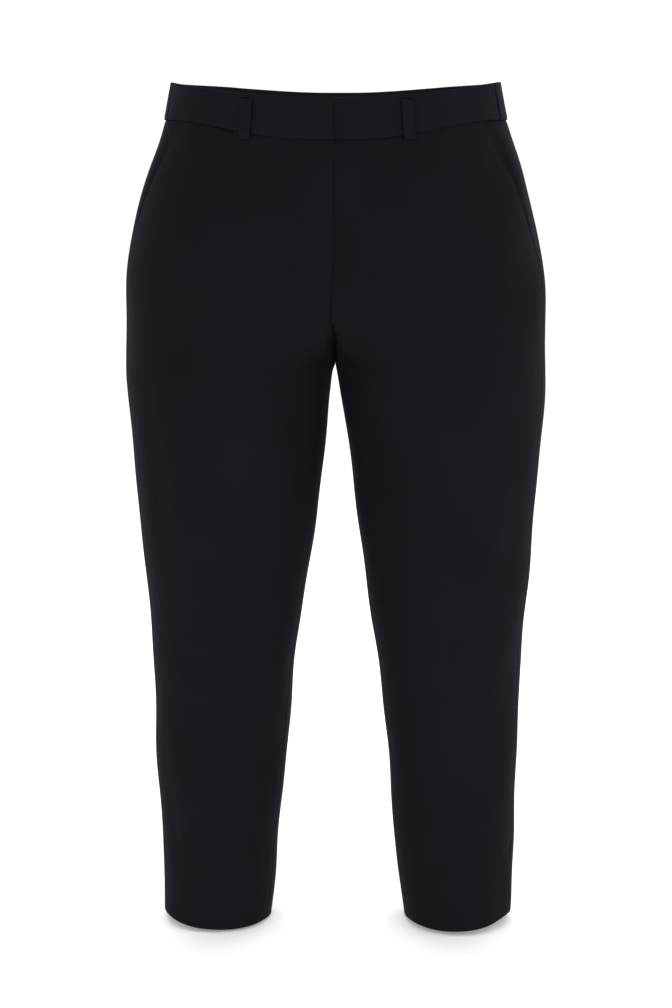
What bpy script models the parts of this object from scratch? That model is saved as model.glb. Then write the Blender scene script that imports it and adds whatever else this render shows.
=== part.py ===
"""Tapered dress trousers, filled out as if worn: a hollow shell of cloth, in metres, +Z up.

The origin is the middle of the waistband's ring, where a wearer's waist holds them up. The front
faces -Y and the wearer's left is +X. A height is a drop, measured down from just under the
waistband's top edge at the side. A place round one half is an angle: 0 at its outermost line, 90
degrees at its middle in front and -90 behind, and 180 either way at the centre line or, on a leg, at
the innermost line.
"""

import math

import bmesh
import bpy
import numpy as np

GAP = 0.0003  # between two pieces at a seam
WALL = 0.0015  # one layer of suiting, with what its seams hold
BAND_WALL = 0.0028  # two layers and their stiffening
BAND_PROUD = 0.0008  # how far the waistband stands out from the panels
HELD_DROP = 0.020  # the origin's
CROTCH_DROP = 0.3104
HEM_DROP = 0.963
HEM_DEPTH = 0.036  # turned up inside, so the wall is double there
HEM_TILT = 0.0036  # each hem's outer side stands this much higher than its middle
HEM_RISE = {-1: 0.0, 1: 0.0018}  # the right leg's and the left leg's
HEM_TILT_FADE = 0.15

# The waistband's edges dip towards the centre front, and a little towards the centre back: how far,
# and a power, which keeps the dip to the middle.
TOP_EDGE = {"side": -0.0016, "front": (0.0203, 2), "back": (0.0060, 6)}
BAND_SEAM = {"side": 0.0395, "front": (0.0230, 4), "back": (0.0065, 4)}
DIP_FADE = 0.16  # drop over which the rows under the band level out

# Each half bends round its middle, flat apart from the centre, out to outer. The depths run from the
# side line to the front and to the back. Under the crotch the middle is that of the leg.
SECTIONS = {
    "drop": (0.000, 0.041, 0.100, 0.160, 0.220, 0.260, 0.310, 0.360,
             0.420, 0.480, 0.560, 0.640, 0.720, 0.800, 0.880, 0.963),
    "outer": (0.1818, 0.1908, 0.2110, 0.2268, 0.2363, 0.2382, 0.2379, 0.2359,
              0.2317, 0.2268, 0.2203, 0.2144, 0.2113, 0.2092, 0.2062, 0.2040),
    "flat": (0.012, 0.017, 0.034, 0.066, 0.095, 0.110, 0.119, 0.122,
             0.123, 0.125, 0.127, 0.130, 0.133, 0.136, 0.138, 0.142),
    "front": (0.130, 0.134, 0.138, 0.138, 0.135, 0.131, 0.124, 0.117,
              0.110, 0.104, 0.096, 0.089, 0.083, 0.077, 0.072, 0.069),
    "back": (0.137, 0.141, 0.151, 0.161, 0.166, 0.162, 0.149, 0.136,
             0.125, 0.116, 0.105, 0.096, 0.089, 0.082, 0.075, 0.070),
}

# Under the crotch: half the gap between the legs, and how far both stand to the wearer's left.
LEGS = {
    "drop": (0.3104, 0.320, 0.342, 0.388, 0.458, 0.528, 0.598, 0.670, 0.742, 0.814, 0.888, 0.963),
    "inner": (0.0, 0.0025, 0.0056, 0.0112, 0.0201, 0.0294, 0.0400, 0.0499, 0.0572, 0.0630, 0.0703,
              0.0790),
    "sway": (0.0, 0.0, 0.0004, 0.0012, 0.0020, 0.0018, 0.0018, 0.0018, 0.0019, 0.0019, 0.0022,
             0.0025),
}

# Where each centre seam leaves the plumb and curves under to the crotch, and how softly it starts.
FORK_START = {"front": 0.205, "back": 0.165}
FORK_POWER = 1.5

# The seams, in degrees in front of the outermost and the innermost line of each half.
SIDE_SEAM = {"drop": (0.04, 0.30, HEM_DROP), "turn": (17.0, 16.0, 20.0)}
SEAM_TWIST = math.radians(1.4)  # the cloth sits turned this far round the hips
INSEAM = {"drop": (CROTCH_DROP, 0.45, HEM_DROP), "turn": (0.0, 12.0, 22.0)}

# The slanted pocket edge runs from the band down to the side seam.
POCKET = {"drop": (0.040, 0.178), "turn": (32.0, 16.6)}
POCKET_UNDERLAP = 0.010  # of the hip panel under the front
SIDE_UNDERLAP = 0.004  # of the hip panel under the back
HIP_PANEL_START, HIP_PANEL_END = 0.0408, 0.182
UNDER = WALL + 3 * GAP  # how far in one layer lies under another
BAND_UNDER = BAND_WALL + 3 * GAP

# The fly: the right front's folded edge lies just past the centre, over the left front.
FLY_EDGE = 0.0018
FLY_UNDERLAP = 0.012
FLY_EASE = 0.030  # round the body, over which the left front comes up level
FLY_END_DROP = 0.200
UNDERLAP_TAPER = 0.020  # above the fly's end
OVERLAP_TAPER = 0.015  # below the fly's end, and then the left front comes up level

LOOP_WIDTH = 0.0123
LOOP_WALL = 0.0018
LOOP_SLACK = 0.0025  # room for a belt at the middle of a loop
LOOP_ENDS = 0.25  # share of a loop that is sewn down at each end
LOOP_BELOW_EDGE = 0.0020
LOOP_BELOW_SEAM = 0.0095
BELT_LOOPS = {  # side of the body, and degrees round it at the top and at the foot
    "belt_loop_front_right": (-1, 63.8, 66.4),
    "belt_loop_front_left": (1, 67.6, 69.8),
    "belt_loop_back_right": (-1, -52.0, -54.5),
    "belt_loop_back_left": (1, -52.0, -54.5),
    "belt_loop_centre_back": (1, -180.0, -180.0),
}

# The largest soft hollows of the cloth: where each is, how far it reaches along and across its own
# line, how that line leans from upright in radians, and how far it moves the cloth out.
FOLDS = {
    "side": (-1, 1, -1, 1, 1, -1, -1, 1),
    "drop": (0.150, 0.150, 0.400, 0.440, 0.830, 0.560, 0.410, 0.420),
    "angle": (75, 72, 140, 138, 118, 100, -120, -122),
    "along": (0.060, 0.060, 0.090, 0.110, 0.070, 0.060, 0.050, 0.055),
    "across": (0.030, 0.028, 0.022, 0.024, 0.016, 0.020, 0.016, 0.016),
    "lean": (0.3, -0.3, 0.2, -0.1, 0.7, -0.8, 1.2, -1.2),
    "out": (-0.0020, -0.0016, -0.0026, -0.0030, -0.0018, -0.0014, -0.0024, -0.0022),
}

FOLD_REACH = 0.25  # down from a fold's middle, past which it no longer counts
NO_FORK = 1e-4  # keeps the bend over the fork a bend, as good as flat
SMALL_TURN = 1e-4
SPREAD_STEPS = 61

# Rows and columns of the panels' grids.
HIP_ROWS, FORK_ROWS, LEG_ROWS = 8, 14, 16
FORK_ROWS_START = 0.165
FORK_ROWS_POWER = 1.4  # closer towards the crotch
NEAR_CROTCH = (0.315, 0.325, 0.340, 0.360)
FRONT_COLUMNS, BACK_COLUMNS = 13, 15
HIP_PANEL_ROWS, HIP_PANEL_COLUMNS = 9, 4
BAND_ROWS = 3
BAND_COLUMNS = {"right": 12, "left": 14, "back": 30}  # even behind, for a seam at the centre back
LOOP_ROWS, LOOP_COLUMNS = 12, 2
SEAM_COLUMN = 0.02  # share of a piece's width in its narrow columns along the seams
HEM_STEP = 0.001  # height over which the wall doubles at the top of the hem

# Colour, roughness and sheen: a navy so dark that it is nearly black.
FINISHES = {
    "suiting": ((0.0105, 0.0101, 0.0138, 1.0), 0.82, 0.20),
    "band_suiting": ((0.0112, 0.0108, 0.0146, 1.0), 0.80, 0.20),
    "loop_suiting": ((0.0108, 0.0104, 0.0142, 1.0), 0.80, 0.18),
    "hip_suiting": ((0.0105, 0.0101, 0.0138, 1.0), 0.84, 0.20),
}


def read(table, column, drop):
    """A column at this drop, on a smooth curve through the table's rows."""
    heights = np.array(table["drop"])
    values = np.array(table[column])
    slopes = np.gradient(values, heights)
    drop = min(max(drop, heights[0]), heights[-1])
    row = min(int(np.searchsorted(heights, drop, side="right")), len(heights) - 1) - 1
    span = heights[row + 1] - heights[row]
    t = (drop - heights[row]) / span
    ends = values[row] * (1 + 2 * t) * (1 - t) ** 2 + values[row + 1] * (3 - 2 * t) * t**2
    return ends + span * t * (1 - t) * (slopes[row] * (1 - t) - slopes[row + 1] * t)


def turn_at(table, drop):
    return math.radians(np.interp(drop, table["drop"], table["turn"]))


def side_turn(table, side, drop):
    """The same for the side seam or the pocket edge of one side of the body."""
    hips = min(1.0, (HEM_DROP - drop) / (HEM_DROP - CROTCH_DROP))
    return turn_at(table, drop) + side * SEAM_TWIST * hips


def smooth(share):
    share = min(max(share, 0.0), 1.0)
    return share * share * (3 - 2 * share)


def oval(drop, angle):
    """One half's section, as (face, middle, outer radius, inner radius, depth, inner turn). Its inner
    bend stops at the centre plane over the crotch, and goes right round to the inseam on a leg."""
    if drop >= CROTCH_DROP and abs(angle) > math.pi:
        angle = -angle  # round the inseam, onto the other face
    face = "front" if angle > 0 else "back"
    outer = read(SECTIONS, "outer", drop)
    if drop < CROTCH_DROP:
        middle, inner = read(SECTIONS, "flat", drop), 0.0
        down = max(0.0, (drop - FORK_START[face]) / (CROTCH_DROP - FORK_START[face]))
        inner_turn = max(math.pi / 2 * down**FORK_POWER, NO_FORK)
    else:
        inner, inner_turn = read(LEGS, "inner", drop), math.pi / 2
        middle = (outer + inner) / 2
    depth = read(SECTIONS, face, drop)
    return face, middle, outer - middle, (middle - inner) / math.sin(inner_turn), depth, inner_turn


def section_point(drop, angle):
    """(point, outward normal) in plan, on one half, with the side at +x and the front at -y."""
    face, middle, outer_bend, inner_bend, depth, inner_turn = oval(drop, angle)
    way = 1 if face == "front" else -1
    beyond = abs(angle) - math.pi / 2
    if drop >= CROTCH_DROP and abs(angle) > math.pi:
        beyond = math.pi / 2 - (abs(angle) - math.pi)
    if beyond <= 0:
        bend, turn = outer_bend, beyond
    else:
        bend, turn = inner_bend, beyond / (math.pi / 2) * inner_turn
    point = np.array((middle - bend * math.sin(turn), -way * depth * math.cos(turn)))
    normal = np.array((-math.sin(turn) / bend, -way * math.cos(turn) / depth))
    return point, normal / np.linalg.norm(normal)


def fold_at(side, drop, angle):
    """How far the folds move the cloth out here."""
    total = 0.0
    here = section_point(drop, angle)[0]
    for row, its_side in enumerate(FOLDS["side"]):
        at = math.radians(FOLDS["angle"][row])
        down = drop - FOLDS["drop"][row]
        if its_side != side or abs(down) > FOLD_REACH or at * angle < 0:
            continue
        round_ = np.linalg.norm(section_point(drop, at)[0] - here) * np.sign(angle - at)
        lean = FOLDS["lean"][row]
        along = (down * math.cos(lean) + round_ * math.sin(lean)) / FOLDS["along"][row]
        across = (round_ * math.cos(lean) - down * math.sin(lean)) / FOLDS["across"][row]
        total += FOLDS["out"][row] * math.exp(-(along**2) - across**2)
    return total


def skin(side, drop, angle, out=0.0):
    """A point of the garment's outer face, moved out by that much."""
    point, normal = section_point(drop, angle)
    point = point + normal * (out + fold_at(side, drop, angle))
    return side * point[0] + read(LEGS, "sway", drop), point[1], HELD_DROP - drop


def angle_step(drop, angle, length):
    """The change of angle that goes this far round the section."""
    ends = [section_point(drop, angle + way * SMALL_TURN)[0] for way in (-1, 1)]
    return length * 2 * SMALL_TURN / np.linalg.norm(ends[1] - ends[0])


def spread(drop, start, end, shares):
    """Angles between two angles, at shares of the length of cloth between them."""
    angles = np.linspace(start, end, SPREAD_STEPS)
    points = np.array([section_point(drop, angle)[0] for angle in angles])
    lengths = np.linalg.norm(np.diff(points, axis=0), axis=1)
    travelled = np.concatenate([(0.0,), np.cumsum(lengths)])
    return np.interp(shares, travelled / travelled[-1], angles)


def edge_drop(edge, angle):
    """The drop of one of the waistband's edges."""
    point, _ = section_point(edge["side"], angle)
    _, _, _, _, depth, _ = oval(edge["side"], angle)
    face = "front" if angle > 0 else "back"
    dip, power = edge[face]
    return edge["side"] + dip * abs(point[1] / depth) ** power


def centre_angle(drop, face, past):
    """Where a piece ends towards the centre. Over the crotch it reaches past the centre plane."""
    way = 1 if face == "front" else -1
    if drop >= CROTCH_DROP:
        seam = math.pi - way * turn_at(INSEAM, drop)
        return way * (seam - angle_step(drop, way * seam, GAP / 2))
    _, middle, _, inner_bend, _, inner_turn = oval(drop, way * math.pi)
    turn = math.asin(min((middle + past) / inner_bend, 1.0))
    return way * math.pi / 2 * (1 + turn / inner_turn)


def side_angle(side, drop, face):
    """Where a piece ends at the side seam."""
    seam = side_turn(SIDE_SEAM, side, drop)
    gap = angle_step(drop, seam, GAP / 2)
    return seam + gap if face == "front" else seam - gap


def pocket_angle(side, drop):
    """The front's outer edge: the slanted pocket edge, then the side seam."""
    seam = side_angle(side, drop, "front")
    if drop > POCKET["drop"][1]:
        return seam
    return max(side_turn(POCKET, side, drop), seam)


def leaf_out(side, drop, x):
    """How far the left front's edge lies in, where the right front's fly edge laps over it."""
    if side < 0:
        return 0.0
    round_share = smooth((FLY_EDGE + FLY_EASE - x) / FLY_EASE)
    level = FLY_END_DROP + OVERLAP_TAPER
    return round_share * smooth((level + FLY_EASE - drop) / FLY_EASE)


def fly_past(side, drop):
    """How far a front reaches past the centre line at this drop."""
    seam = -GAP / 2
    if side < 0:
        share = smooth((FLY_END_DROP + OVERLAP_TAPER - drop) / OVERLAP_TAPER)
        return seam + (FLY_EDGE - seam) * share
    share = smooth((FLY_END_DROP - drop) / UNDERLAP_TAPER)
    return seam + (FLY_UNDERLAP - FLY_EDGE - seam) * share


def panel_drops():
    """The rows of every panel, the same at both sides of a seam, so that their edges match."""
    hips = np.linspace(BAND_SEAM["side"], FORK_ROWS_START, HIP_ROWS, endpoint=False)
    left = np.linspace(1, 0, FORK_ROWS + 1) ** FORK_ROWS_POWER
    fork = CROTCH_DROP - (CROTCH_DROP - FORK_ROWS_START) * left
    hem_top = HEM_DROP - HEM_DEPTH
    legs = np.linspace(NEAR_CROTCH[-1], hem_top - HEM_STEP, LEG_ROWS)[1:]
    return np.concatenate([hips, fork, NEAR_CROTCH, legs, (hem_top, HEM_DROP)])


def grid(name, rows, columns, place, wall, finish, inside_out, double_from=None):
    """A sheet of cloth: place(down, across) carries a flat grid's points, from 0 to 1 each way, onto
    the garment. The wall lies inside it, and is double from the row double_from down."""
    seam_columns = (0, 1 / columns, 1 - 1 / columns, 1)
    shares = (0, SEAM_COLUMN, 1 - SEAM_COLUMN, 1)
    sheet = bmesh.new()
    bmesh.ops.create_grid(sheet, x_segments=columns, y_segments=rows, size=0.5)
    doubled = []
    for vertex in sheet.verts:
        across, down = vertex.co.x + 0.5, 0.5 - vertex.co.y
        if double_from is not None and down * rows > double_from - 0.5:
            doubled.append(vertex.index)
        vertex.co = place(down, float(np.interp(across, seam_columns, shares)))
    if inside_out:
        bmesh.ops.reverse_faces(sheet, faces=sheet.faces)
    mesh = bpy.data.meshes.new(name)
    sheet.to_mesh(mesh)
    sheet.free()
    mesh.shade_smooth()
    mesh.materials.append(finish)

    piece = bpy.data.objects.new(name, mesh)
    solidify = piece.modifiers.new("wall", "SOLIDIFY")
    solidify.thickness = wall
    solidify.offset = -1
    solidify.use_even_offset = True
    if doubled:
        solidify.thickness = 2 * wall
        layers = piece.vertex_groups.new(name="second_layer")
        layers.add(doubled, 1.0, "REPLACE")
        solidify.vertex_group = layers.name
        solidify.thickness_vertex_group = 1 / 2  # one layer, where the group isn't
    return piece


def leg_panel(side, face, finish):
    """A front or a back, from the waistband's seam to the hem, and from the centre to the side."""
    drops = panel_drops()
    rows = len(drops) - 1
    even = np.linspace(0, 1, len(drops))
    columns = FRONT_COLUMNS if face == "front" else BACK_COLUMNS

    def place(down, across):
        drop = float(np.interp(down, even, drops))
        past = fly_past(side, drop) if face == "front" else -GAP / 2
        start = centre_angle(drop, face, past)
        end = pocket_angle(side, drop) if face == "front" else side_angle(side, drop, face)
        angle = float(spread(drop, start, end, across))
        level = max(0.0, 1 - (drop - BAND_SEAM["side"]) / DIP_FADE)
        dip = edge_drop(BAND_SEAM, angle) - BAND_SEAM["side"]
        here = drop + dip * level + GAP * level
        rise = HEM_RISE[side] + HEM_TILT * math.cos(angle)
        here -= rise * smooth(1 - (HEM_DROP - drop) / HEM_TILT_FADE)
        out = 0.0
        if face == "front":
            out = -UNDER * leaf_out(side, here, section_point(here, angle)[0][0])
        point = skin(side, here, angle, out)
        apart = max(side * point[0], min(-past, GAP / 2))
        return side * apart, point[1], point[2]

    name = f"{face}_{'left' if side > 0 else 'right'}"
    inside_out = (side > 0) != (face == "front")
    return grid(name, rows, columns, place, WALL, finish, inside_out, rows - 1)


def hip_panel(side, finish):
    """The cloth that shows in a pocket's opening, a layer under the front and the back."""

    def place(down, across):
        drop = HIP_PANEL_START + down * (HIP_PANEL_END - HIP_PANEL_START)
        seam = side_turn(SIDE_SEAM, side, drop)
        start = max(side_turn(POCKET, side, drop), seam)
        start += angle_step(drop, start, POCKET_UNDERLAP)
        end = seam - angle_step(drop, seam, SIDE_UNDERLAP)
        angle = start + (end - start) * across
        level = max(0.0, 1 - (drop - BAND_SEAM["side"]) / DIP_FADE)
        dip = edge_drop(BAND_SEAM, angle) - BAND_SEAM["side"]
        return skin(side, drop + dip * level, angle, -UNDER)

    name = f"hip_panel_{'left' if side > 0 else 'right'}"
    return grid(name, HIP_PANEL_ROWS, HIP_PANEL_COLUMNS, place, WALL, finish, side < 0)


def band(name, start, end, columns, finish, lapped=False):
    """A length of the waistband between two places, each a side of the body and an angle. The back's
    goes through the centre back, where the side changes."""
    (start_side, start_angle), (end_side, end_angle) = start, end
    through_back = start_side != end_side
    turn = -math.pi if through_back else end_angle

    def place(down, across):
        side, share, first = start_side, across, start_angle
        if through_back:
            side = start_side if across < 0.5 else end_side
            share = 1 - abs(1 - 2 * across)
            first = start_angle if across < 0.5 else end_angle
        angle = float(spread(BAND_SEAM["side"], first, turn, share))
        top = edge_drop(TOP_EDGE, angle)
        drop = top + down * (edge_drop(BAND_SEAM, angle) - top)
        out = BAND_PROUD
        if lapped:
            out -= BAND_UNDER * leaf_out(side, drop, section_point(drop, angle)[0][0])
        return skin(side, drop, angle, out)

    return grid(name, BAND_ROWS, columns, place, BAND_WALL, finish, start_side < 0)


def belt_loop(name, side, top_angle, foot_angle, finish):
    """A strip sewn down at the band's top edge and under its seam, and slack between them."""
    top = edge_drop(TOP_EDGE, top_angle) + LOOP_BELOW_EDGE
    foot = edge_drop(BAND_SEAM, foot_angle) + LOOP_BELOW_SEAM

    def place(down, across):
        drop = top + down * (foot - top)
        middle_angle = top_angle + down * (foot_angle - top_angle)
        angle = middle_angle + angle_step(drop, middle_angle, LOOP_WIDTH) * (0.5 - across)
        slack = smooth(down / LOOP_ENDS) * smooth((1 - down) / LOOP_ENDS)
        out = GAP + BAND_PROUD * (1 - down) + LOOP_SLACK * slack + LOOP_WALL
        return skin(side, drop, angle, out)

    return grid(name, LOOP_ROWS, LOOP_COLUMNS, place, LOOP_WALL, finish, side < 0)


def cloth_material(name):
    colour, roughness, sheen = FINISHES[name]
    material = bpy.data.materials.new(name)
    material.use_nodes = True
    shader = material.node_tree.nodes["Principled BSDF"]
    shader.inputs["Base Color"].default_value = colour
    shader.inputs["Roughness"].default_value = roughness
    shader.inputs["Metallic"].default_value = 0.0
    shader.inputs["Sheen Weight"].default_value = sheen
    material.diffuse_color = colour
    return material


def waistband(finish):
    """The two fronts, which lap at the fly, and the back, from side seam to side seam."""
    right_seam, left_seam = (side_turn(SIDE_SEAM, side, BAND_SEAM["side"]) for side in (-1, 1))
    gap = angle_step(0.0, right_seam, GAP / 2)
    right_edge = centre_angle(0.0, "front", FLY_EDGE)
    left_edge = centre_angle(0.0, "front", FLY_UNDERLAP - FLY_EDGE)
    right_side, left_side = (-1, right_seam + gap), (1, left_seam + gap)
    back_ends = (-1, right_seam - gap), (1, left_seam - gap)
    columns = BAND_COLUMNS
    return [
        band("waistband_front_right", (-1, right_edge), right_side, columns["right"], finish),
        band("waistband_front_left", (1, left_edge), left_side, columns["left"], finish, lapped=True),
        band("waistband_back", *back_ends, columns["back"], finish),
    ]


def build():
    for thing in list(bpy.data.objects):
        bpy.data.objects.remove(thing, do_unlink=True)
    garment = bpy.data.collections.new("tapered_dress_trousers")
    bpy.context.scene.collection.children.link(garment)
    finishes = {name: cloth_material(name) for name in FINISHES}

    pieces = waistband(finishes["band_suiting"])
    for side in (-1, 1):
        for face in ("front", "back"):
            pieces.append(leg_panel(side, face, finishes["suiting"]))
        pieces.append(hip_panel(side, finishes["hip_suiting"]))
    for name, (side, *degrees) in BELT_LOOPS.items():
        pieces.append(belt_loop(name, side, *np.radians(degrees), finishes["loop_suiting"]))
    for piece in pieces:
        garment.objects.link(piece)


build()
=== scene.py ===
"""The looks of the tapered dress trousers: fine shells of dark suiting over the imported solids.

Metres, +Z up; the front faces -Y and the wearer's left is +X. As in the solids, a height is a drop,
measured down from just under the waistband's top edge at the side, and a place round one half is an
angle: 0 at its outermost line, 90 degrees at its middle in front and -90 behind, and 180 either way
at the centre line or, on a leg, at the innermost line. side is -1 for the wearer's right, and 1 for
the left.
"""

import math

import bpy
import numpy as np
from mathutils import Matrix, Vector

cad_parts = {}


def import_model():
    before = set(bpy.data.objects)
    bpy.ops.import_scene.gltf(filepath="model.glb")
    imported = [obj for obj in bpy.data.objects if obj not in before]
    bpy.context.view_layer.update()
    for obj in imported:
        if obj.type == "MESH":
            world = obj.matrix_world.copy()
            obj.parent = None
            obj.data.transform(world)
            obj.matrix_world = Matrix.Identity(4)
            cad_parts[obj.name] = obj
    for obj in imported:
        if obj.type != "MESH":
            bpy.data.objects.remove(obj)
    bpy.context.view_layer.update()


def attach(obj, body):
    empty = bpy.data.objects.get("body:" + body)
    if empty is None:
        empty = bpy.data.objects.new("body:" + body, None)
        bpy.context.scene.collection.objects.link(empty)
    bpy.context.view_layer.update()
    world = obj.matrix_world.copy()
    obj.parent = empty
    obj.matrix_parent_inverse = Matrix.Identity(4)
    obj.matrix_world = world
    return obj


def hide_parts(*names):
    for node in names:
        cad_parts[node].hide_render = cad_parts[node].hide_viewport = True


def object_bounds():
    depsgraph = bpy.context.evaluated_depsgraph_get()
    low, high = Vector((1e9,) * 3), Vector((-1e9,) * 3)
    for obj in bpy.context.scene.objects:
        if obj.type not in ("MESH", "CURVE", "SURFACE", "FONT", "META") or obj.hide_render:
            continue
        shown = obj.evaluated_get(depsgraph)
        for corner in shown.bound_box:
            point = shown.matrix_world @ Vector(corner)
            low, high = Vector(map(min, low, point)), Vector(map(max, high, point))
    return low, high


# ---- The garment's sizes, the same as its solids' ----

GAP = 0.0003
WALL = 0.0015
BAND_WALL = 0.0028
BAND_PROUD = 0.0008
HELD_DROP = 0.020
CROTCH_DROP = 0.3104
HEM_DROP = 0.963
HEM_DEPTH = 0.036
HEM_TILT = 0.0036
HEM_RISE = {-1: 0.0, 1: 0.0018}
HEM_TILT_FADE = 0.15

TOP_EDGE = {"side": -0.0016, "front": (0.0203, 2), "back": (0.0060, 6)}
BAND_SEAM = {"side": 0.0395, "front": (0.0230, 4), "back": (0.0065, 4)}
DIP_FADE = 0.16

SECTIONS = {
    "drop": (0.000, 0.041, 0.100, 0.160, 0.220, 0.260, 0.310, 0.360,
             0.420, 0.480, 0.560, 0.640, 0.720, 0.800, 0.880, 0.963),
    "outer": (0.1818, 0.1908, 0.2110, 0.2268, 0.2363, 0.2382, 0.2379, 0.2359,
              0.2317, 0.2268, 0.2203, 0.2144, 0.2113, 0.2092, 0.2062, 0.2040),
    "flat": (0.012, 0.017, 0.034, 0.066, 0.095, 0.110, 0.119, 0.122,
             0.123, 0.125, 0.127, 0.130, 0.133, 0.136, 0.138, 0.142),
    "front": (0.130, 0.134, 0.138, 0.138, 0.135, 0.131, 0.124, 0.117,
              0.110, 0.104, 0.096, 0.089, 0.083, 0.077, 0.072, 0.069),
    "back": (0.137, 0.141, 0.151, 0.161, 0.166, 0.162, 0.149, 0.136,
             0.125, 0.116, 0.105, 0.096, 0.089, 0.082, 0.075, 0.070),
}
LEGS = {
    "drop": (0.3104, 0.320, 0.342, 0.388, 0.458, 0.528, 0.598, 0.670, 0.742, 0.814, 0.888, 0.963),
    "inner": (0.0, 0.0025, 0.0056, 0.0112, 0.0201, 0.0294, 0.0400, 0.0499, 0.0572, 0.0630, 0.0703,
              0.0790),
    "sway": (0.0, 0.0, 0.0004, 0.0012, 0.0020, 0.0018, 0.0018, 0.0018, 0.0019, 0.0019, 0.0022,
             0.0025),
}
FORK_START = {"front": 0.205, "back": 0.165}
FORK_POWER = 1.5
NO_FORK = 1e-4

SIDE_SEAM = {"drop": (0.04, 0.30, HEM_DROP), "turn": (17.0, 16.0, 20.0)}
SEAM_TWIST = math.radians(1.4)
INSEAM = {"drop": (CROTCH_DROP, 0.45, HEM_DROP), "turn": (0.0, 12.0, 22.0)}
POCKET = {"drop": (0.040, 0.178), "turn": (32.0, 16.6)}
POCKET_UNDERLAP = 0.010
HIP_PANEL_START, HIP_PANEL_END = 0.0408, 0.182
UNDER = WALL + 3 * GAP
BAND_UNDER = BAND_WALL + 3 * GAP

FLY_EDGE = 0.0018
FLY_UNDERLAP = 0.012
FLY_EASE = 0.030
FLY_END_DROP = 0.200
UNDERLAP_TAPER = 0.020
OVERLAP_TAPER = 0.015

LOOP_WIDTH = 0.0123
LOOP_WALL = 0.0018
LOOP_SLACK = 0.0025
LOOP_ENDS = 0.25
LOOP_BELOW_EDGE = 0.0020
LOOP_BELOW_SEAM = 0.0095
BELT_LOOPS = {
    "belt_loop_front_right": (-1, 63.8, 66.4),
    "belt_loop_front_left": (1, 67.6, 69.8),
    "belt_loop_back_right": (-1, -52.0, -54.5),
    "belt_loop_back_left": (1, -52.0, -54.5),
    "belt_loop_centre_back": (1, -180.0, -180.0),
}

# ---- What the shells add ----

CLOTH = 0.0011  # one layer, thinner than its solid's wall
BAND_CLOTH = 0.0024
LOOP_CLOTH = 0.0016
HEM_FOLD = 0.0012  # radius of the fold at the hem's edge
HEM_FOLD_STEPS = 7
EDGE_ROUND, BAND_EDGE_ROUND, LOOP_EDGE_ROUND = 0.00035, 0.0009, 0.0005
EDGE_SEGMENTS, EDGE_ANGLE = 3, math.radians(60)

LOOP_SHORTER = {"belt_loop_front_left": 0.0017}  # this one ends a little higher
LOOP_CROWN = 0.0004
TACKS = (0.050, 0.960)  # the bar tacks' middles, as shares of a loop's length
TACK_HALF = 0.013  # half a tack's height, as such a share
TACK_WIDTH = 0.78  # a share of the loop's width
TACK_TURNS, TACK_POINTS = 15, 3  # zigzags, and points along each stroke
TACK_DIP, TACK_DIP_REACH = 0.0004, 1.6 * TACK_HALF  # how they pull the loop in
THREAD, THREAD_SIDES = 0.00018, 6  # radius, and faces round it
THREAD_ACROSS = (0.31, -0.83, 0.47)  # a direction that no thread follows

CENTRE_DIP, CENTRE_REACH = 0.0013, 0.0024  # the cloth rolls in at the centre seams
FOLDED_DIP, FOLDED_REACH = 0.0006, 0.0018  # less at a folded edge
SEAM_DIP, SEAM_REACH = 0.0004, 0.0016  # and least at the side seams and inseams
BAND_DITCH, BAND_DITCH_REACH = 0.0009, 0.0026
PUCKER, PUCKER_PITCH = 0.18, 0.013  # uneven pull along the seams, a share of the dip
PUCKER_LONGER = 2.7  # its second wave, against its first
PHASES = {"side": 1.3, "front": 0.7, "back": 2.9, "side_seam": 1.1, "band": 0.6, "band_start": 1.7,
          "band_end": 2.3}
HEM_LINE, HEM_LINE_REACH = 0.00016, 0.0022
HEM_STITCH, HEM_PULL = 0.0085, 0.6  # pitch of the blind stitches, and how unevenly they pull
DART_SHARE = 0.46  # place across the back, from the centre seam
DART_END, DART_FADE = 0.150, 0.060
DART_DIP, DART_REACH = 0.0009, 0.0020

# Seam allowances close the seams to sight. Each row or column of one is how far past the edge it
# lies, and how far inside: in metres, or under the waistband as a share of TUCK.
TUCK = 0.0024
TUCK_ROWS = ((0.0070, 1.0), (0.0021, 1.0), (0.0002, 0.5))
ALLOWANCE = ((0.0036, 0.0030), (0.0002, 0.0018))
ALLOWANCE_FADE = 0.003
BAND_ALLOWANCE = ((0.0, 0.0014), (0.0002, 0.0028), (0.006, 0.0028))
BAND_ALLOWANCE_LOWER = 0.002

BAND_SIDES = {-1: 0.0008, 1: 0.0016}  # the band stands off a little at the sides
BAND_SIDES_POWER = 8
POCKET_GAPE = 0.0018  # the pocket's mouth stands open a little, mostly mid-way
GAPE_REACH, GAPE_START = 0.016, 0.6
HIP_SINK = 0.8  # where the hip panel is as deep as it gets, a share of the way to the mouth
FORK_CREASE = 0.80  # how far the cloth over the crotch is pulled in, a share of its depth there
FORK_CREASE_REACH = (0.0020, 0.0048)  # where it starts, and where it is deepest
FORK_CREASE_START, FORK_CREASE_FULL, FORK_CREASE_END = 0.252, 0.288, 0.330
CLOSED_REACH, CLOSED_FADE = 0.004, 0.012  # how near the centre seam the relief gives way to it
HEM_CORNER, HEM_CORNER_POWER = 0.0115, 2.45  # the hem rises a little beside its two pressed edges

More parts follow.
